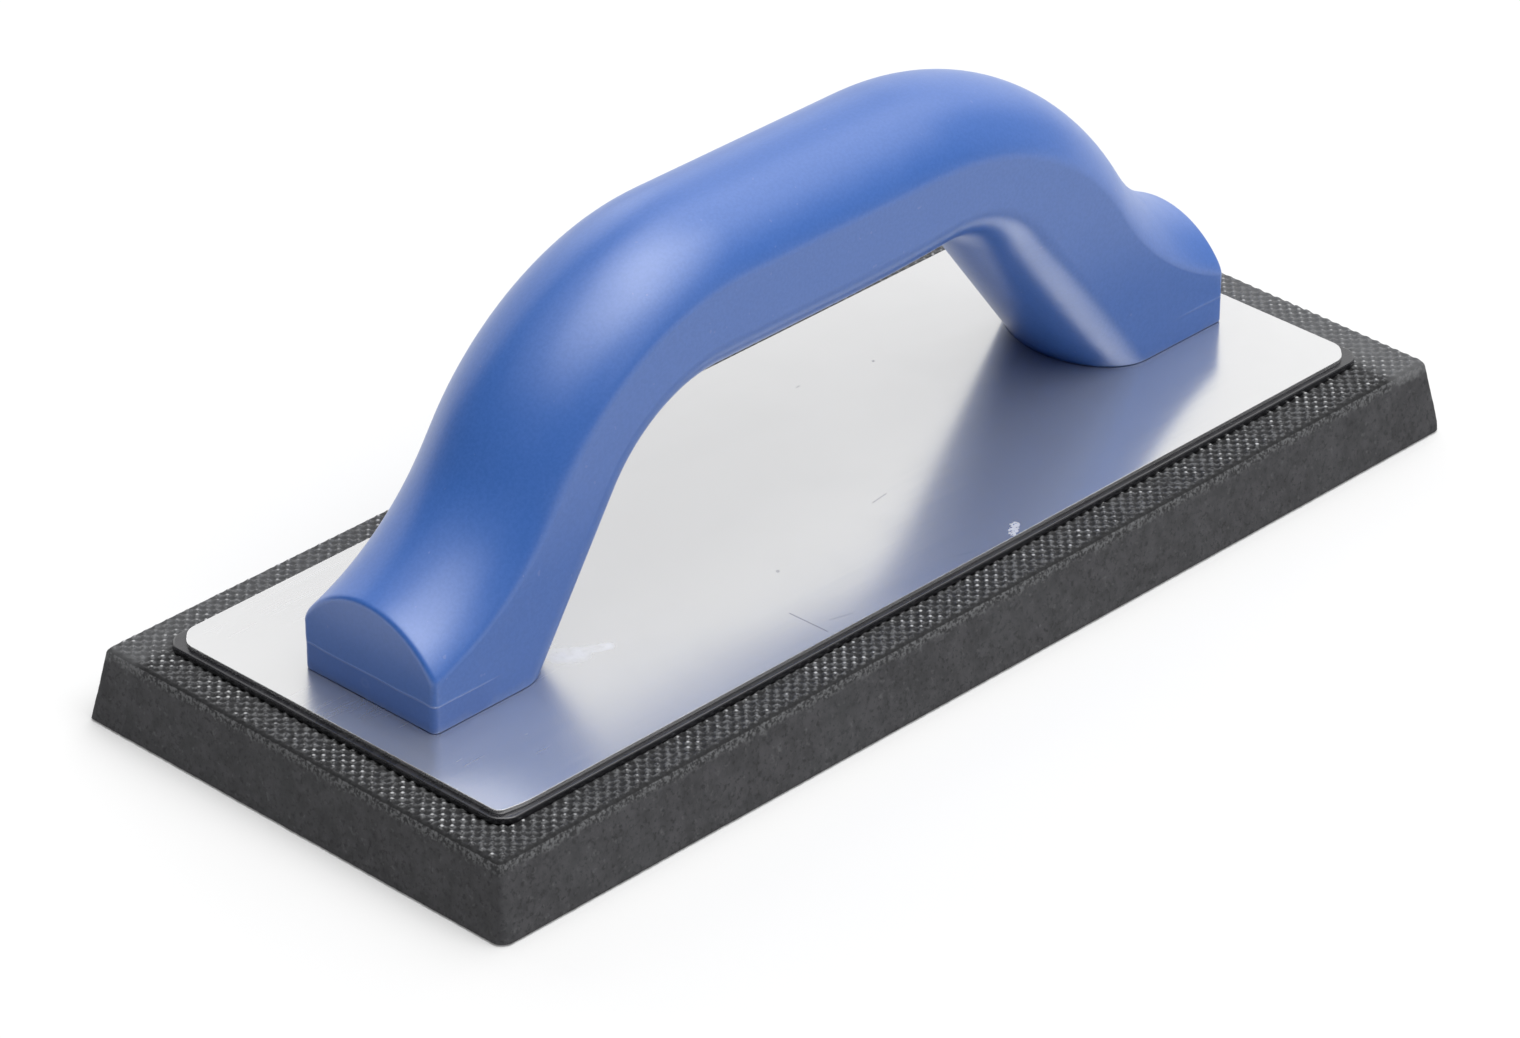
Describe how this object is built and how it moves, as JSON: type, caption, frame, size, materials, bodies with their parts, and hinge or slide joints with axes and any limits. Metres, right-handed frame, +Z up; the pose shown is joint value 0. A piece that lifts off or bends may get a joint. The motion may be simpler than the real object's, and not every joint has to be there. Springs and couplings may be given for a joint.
{
  "type": "rubber hand float",
  "caption": "Rubber hand float for masonry: a cellular rubber pad under a thin aluminium backing plate, with a moulded plastic bow handle screwed on from below.",
  "frame": {"origin": "middle of the pad's flat underside", "axes": "+X along the float from toe to heel, +Y to the left of someone looking along +X, +Z up through the handle"},
  "size_m": [0.2428, 0.1028, 0.0861],
  "materials": {
    "foam_rubber": "matt charcoal cellular rubber with a pimpled top border",
    "black_plastic": "smooth black sheet, satin",
    "aluminium": "mill-finish sheet with light wear scratches",
    "blue_plastic": "satin moulded surface with fine speckle",
    "steel": "zinc plated"
  },
  "bodies": {
    "root": {"rubber_pad": "foam_rubber", "carrier_plate": "black_plastic", "backing_plate": "aluminium", "handle": "blue_plastic", "front_screw_left": "steel", "front_screw_right": "steel", "rear_screw_left": "steel", "rear_screw_right": "steel"}
  },
  "joints": []
}
